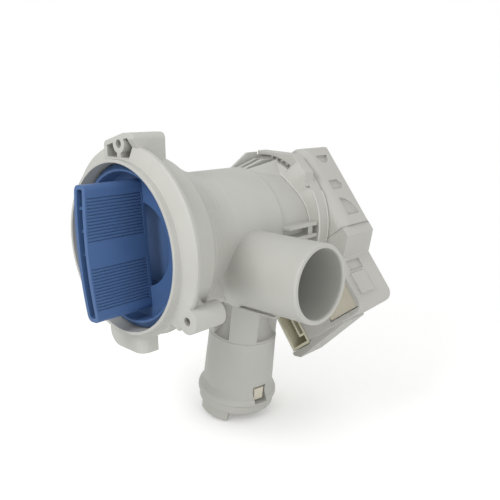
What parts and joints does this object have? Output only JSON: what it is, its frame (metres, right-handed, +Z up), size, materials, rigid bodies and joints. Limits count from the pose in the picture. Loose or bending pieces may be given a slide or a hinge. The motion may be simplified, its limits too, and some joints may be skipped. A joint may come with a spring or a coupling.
{
  "type": "washer drain pump",
  "caption": "Washer drain pump with a screw-in lint filter in a front collar, a side inlet stub, a lower outlet spigot with a check ball, and a turned-on motor.",
  "frame": {"origin": "centre of the front collar's opening, in the plane of its front lip", "axes": "+Y along the pump axis from the collar to the motor, +X along the side stub, +Z up towards the top screw lug"},
  "size_m": [0.1057, 0.1367, 0.1476],
  "materials": {
    "body_plastic": "satin warm light grey polypropylene",
    "motor_plastic": "satin off-white",
    "filter_plastic": "satin blue",
    "inner_plastic": "satin",
    "beige_plastic": "satin beige",
    "seal_rubber": "matt black",
    "ball_rubber": "matt dark grey",
    "steel": "ground",
    "lamination": "stacked sheet edges",
    "ferrite": "matt dark grey",
    "bush_material": "matt graphite",
    "winding": "enamelled copper",
    "fuse_case": "matt black",
    "terminal_brass": "bright"
  },
  "bodies": {
    "pump": {"housing": "body_plastic", "motor_flange": "motor_plastic", "chamber_seal": "seal_rubber", "front_bush": "bush_material", "rear_bush": "bush_material", "rotor_can": "inner_plastic", "core_poles": "lamination", "core_yoke": "lamination", "coil_bobbin": "beige_plastic", "coil_winding": "winding", "thermal_fuse": "fuse_case", "connector_socket": "beige_plastic", "terminal_tabs": "terminal_brass", "core_screws": "steel", "motor_cover": "motor_plastic", "coil_cover": "motor_plastic", "ball_cage": "beige_plastic"},
    "filter_ring": {"filter_seal": "seal_rubber"},
    "filter": {"filter_cap": "filter_plastic", "filter_strainer": "filter_plastic"},
    "rotor": {"rotor_shaft": "steel", "rotor_magnet": "ferrite", "drive_dog": "inner_plastic", "shaft_clip": "steel", "thrust_washer": "bush_material"},
    "impeller": {"impeller": "inner_plastic"},
    "check_ball": {"check_ball": "ball_rubber"}
  },
  "joints": [
    {"name": "filter_out", "type": "slide", "parent": "pump", "child": "filter_ring", "axis": [0, -1, 0], "range_m": [0, 0.012]},
    {"name": "filter_turn", "type": "hinge", "parent": "filter_ring", "child": "filter", "pos_m": [0, 0, 0], "axis": [0, -1, 0], "range_deg": [0, 180]},
    {"name": "rotor_spin", "type": "hinge", "parent": "pump", "child": "rotor", "pos_m": [0, 0.095, 0], "axis": [0, 1, 0], "continuous": true},
    {"name": "impeller_play", "type": "hinge", "parent": "rotor", "child": "impeller", "pos_m": [0, 0.08, 0], "axis": [0, 1, 0], "range_deg": [-120, 120]},
    {"name": "ball_lift", "type": "slide", "parent": "pump", "child": "check_ball", "axis": [0.1426, 0, 0.9898], "range_m": [0, 0.0095]}
  ],
  "couplings": [
    {"joint": "filter_out", "follows": "filter_turn", "m_per_rad": 0.0038}
  ]
}
